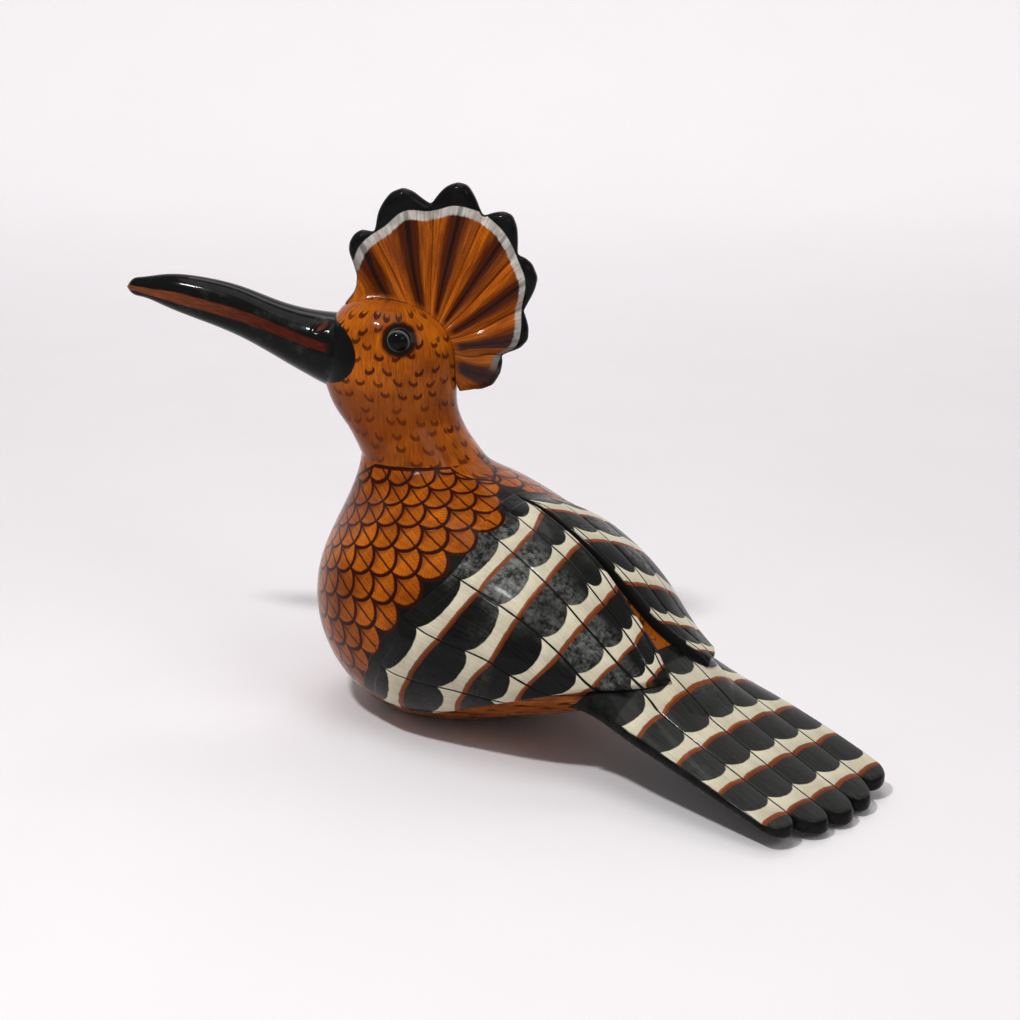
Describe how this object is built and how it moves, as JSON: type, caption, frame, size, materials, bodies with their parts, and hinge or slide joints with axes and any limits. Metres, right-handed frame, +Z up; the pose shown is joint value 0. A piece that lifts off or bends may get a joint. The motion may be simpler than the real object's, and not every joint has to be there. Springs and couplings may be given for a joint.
{
  "type": "painted bird figure",
  "caption": "Carved and painted hoopoe figure with a fan crest, long curved bill, barred wings and a barred fan tail, looking over its left shoulder.",
  "frame": {"origin": "centre of the small flat under the belly that the figure rests on", "axes": "+Z up; the body faces -X with its tail towards +X; the bird's left side faces -Y"},
  "size_m": [0.236, 0.098, 0.1601],
  "materials": {
    "scale_paint": "orange paint with brown scale feathers under clear gloss lacquer",
    "head_paint": "orange paint with brown comma strokes under clear gloss lacquer",
    "bill_black": "black paint with a red-brown mouth stripe under clear gloss lacquer",
    "eye_black": "opaque polished black",
    "crest_paint": "orange and brown feather stripes, off-white band, black tips, clear gloss lacquer",
    "wing_paint": "black, cream and rust bars under clear gloss lacquer",
    "tail_paint": "black, cream and rust bars under clear gloss lacquer",
    "peg_wood": "bare turned wood"
  },
  "bodies": {
    "figure": {"body_block": "scale_paint", "neck_head_block": "head_paint", "neck_dowel": "peg_wood", "bill": "bill_black", "bill_peg": "peg_wood", "eye_left": "eye_black", "eye_right": "eye_black", "tail_fan": "tail_paint", "tail_peg_left": "peg_wood", "tail_peg_right": "peg_wood"},
    "crest": {"crest_fan": "crest_paint", "crest_peg_front": "peg_wood", "crest_peg_rear": "peg_wood"},
    "wing_left": {"wing_left": "wing_paint", "wing_left_peg_front": "peg_wood", "wing_left_peg_rear": "peg_wood"},
    "wing_right": {"wing_right": "wing_paint", "wing_right_peg_front": "peg_wood", "wing_right_peg_rear": "peg_wood"}
  },
  "joints": [
    {"name": "crest_slide", "type": "slide", "parent": "figure", "child": "crest", "axis": [0.4981, 0.3619, 0.788], "range_m": [0, 0.03]},
    {"name": "wing_left_slide", "type": "slide", "parent": "figure", "child": "wing_left", "axis": [0, -1, 0], "range_m": [0, 0.05]},
    {"name": "wing_right_slide", "type": "slide", "parent": "figure", "child": "wing_right", "axis": [0, 1, 0], "range_m": [0, 0.05]}
  ]
}
